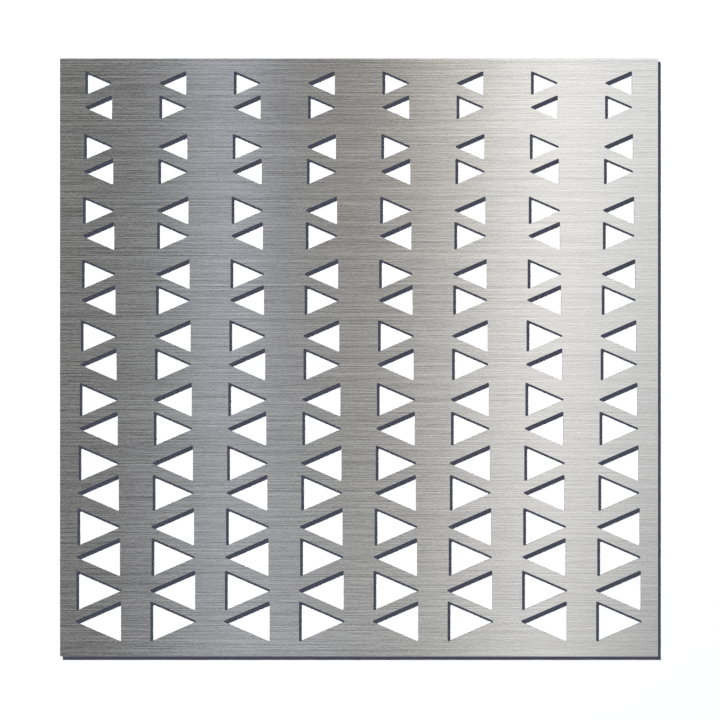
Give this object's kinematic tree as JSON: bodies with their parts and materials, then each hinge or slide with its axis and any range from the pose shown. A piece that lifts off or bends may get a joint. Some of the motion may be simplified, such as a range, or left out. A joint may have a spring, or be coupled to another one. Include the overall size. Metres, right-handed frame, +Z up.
{
  "type": "laser cut metal screen",
  "caption": "Square brushed steel screen sheet with columns of triangular cut-outs, held off a wall by welded studs and sleeves hidden behind its corners.",
  "frame": {"origin": "on the wall's face, on the screen's vertical centre line, level with the sheet's bottom edge", "axes": "+X along the screen to the right as seen from the front, +Y into the wall, +Z up; the sheet's brushed face looks towards -Y"},
  "size_m": [0.6, 0.028, 0.6],
  "materials": {
    "brushed_sheet": "satin, brushed along X with fine long lines, laser cut edges darker",
    "stud_steel": "plain drawn steel, rolled thread",
    "sleeve_aluminium": "fine turned"
  },
  "bodies": {
    "root": {"screen_panel": "brushed_sheet", "weld_stud_upper_left": "stud_steel", "weld_stud_upper_right": "stud_steel", "weld_stud_lower_left": "stud_steel", "weld_stud_lower_right": "stud_steel", "standoff_sleeve_upper_left": "sleeve_aluminium", "standoff_sleeve_upper_right": "sleeve_aluminium", "standoff_sleeve_lower_left": "sleeve_aluminium", "standoff_sleeve_lower_right": "sleeve_aluminium"}
  },
  "joints": []
}
